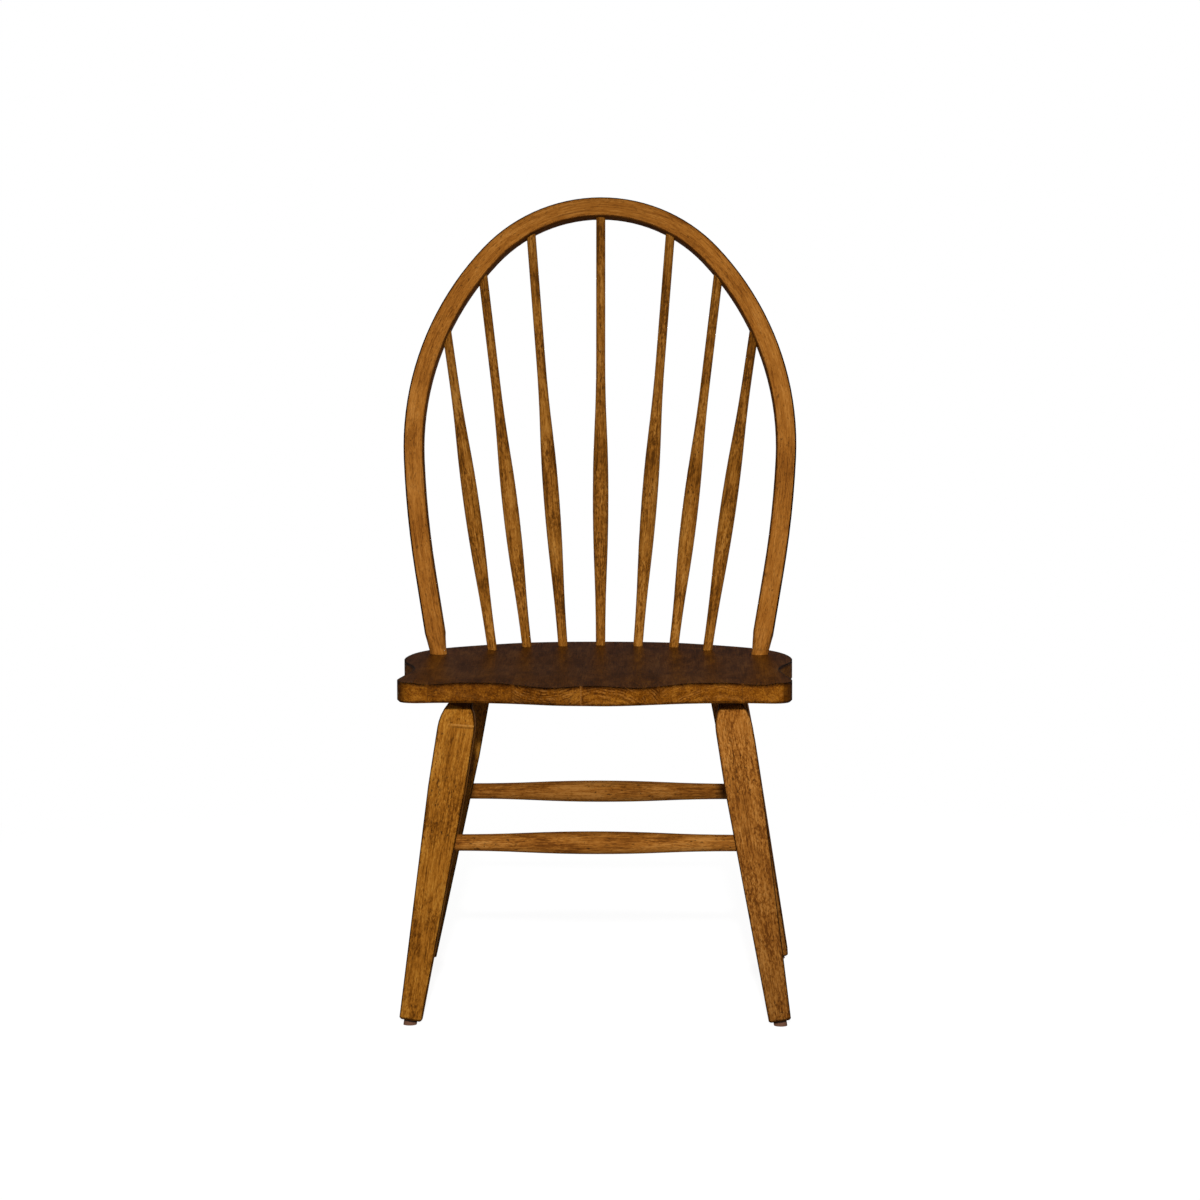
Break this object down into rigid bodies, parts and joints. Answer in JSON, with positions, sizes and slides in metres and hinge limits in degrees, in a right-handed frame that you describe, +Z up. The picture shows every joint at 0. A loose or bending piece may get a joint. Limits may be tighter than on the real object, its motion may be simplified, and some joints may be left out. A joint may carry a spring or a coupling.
{
  "type": "windsor chair",
  "caption": "Armless wooden side chair with a saddled seat, a bent hoop back with turned spindles, and splayed legs braced by turned stretchers.",
  "frame": {"origin": "on the floor, under the middle of the chair's outline seen from above", "axes": "+Z up, -Y towards where the sitter faces, +X to the right seen from the front"},
  "size_m": [0.5426, 0.5115, 1.078],
  "materials": {
    "seat_wood": "satin dark brown stain with worn, burnished edges",
    "frame_wood": "satin warm brown stain, distressed with dark specks and dark edges",
    "glide_plastic": "matt dark brown",
    "felt": "pressed felt",
    "steel": "plain wire steel"
  },
  "bodies": {
    "root": {"seat_board_1": "seat_wood", "seat_board_2": "seat_wood", "seat_board_3": "seat_wood", "seat_board_4": "seat_wood", "seat_board_5": "seat_wood", "seat_board_6": "seat_wood", "hoop": "frame_wood", "hoop_wedge_left": "frame_wood", "hoop_wedge_right": "frame_wood", "spindle_1": "frame_wood", "spindle_2": "frame_wood", "spindle_3": "frame_wood", "spindle_4": "frame_wood", "spindle_5": "frame_wood", "spindle_6": "frame_wood", "spindle_7": "frame_wood", "spindle_brads": "steel", "leg_front_left": "frame_wood", "leg_front_right": "frame_wood", "leg_rear_left": "frame_wood", "leg_rear_right": "frame_wood", "stretcher_front": "frame_wood", "stretcher_rear": "frame_wood", "stretcher_left": "frame_wood", "stretcher_right": "frame_wood", "stretcher_brads": "steel", "glide_cup_front_left": "glide_plastic", "glide_felt_front_left": "felt", "glide_cup_front_right": "glide_plastic", "glide_felt_front_right": "felt", "glide_cup_rear_left": "glide_plastic", "glide_felt_rear_left": "felt", "glide_cup_rear_right": "glide_plastic", "glide_felt_rear_right": "felt", "glide_nails": "steel"}
  },
  "joints": []
}
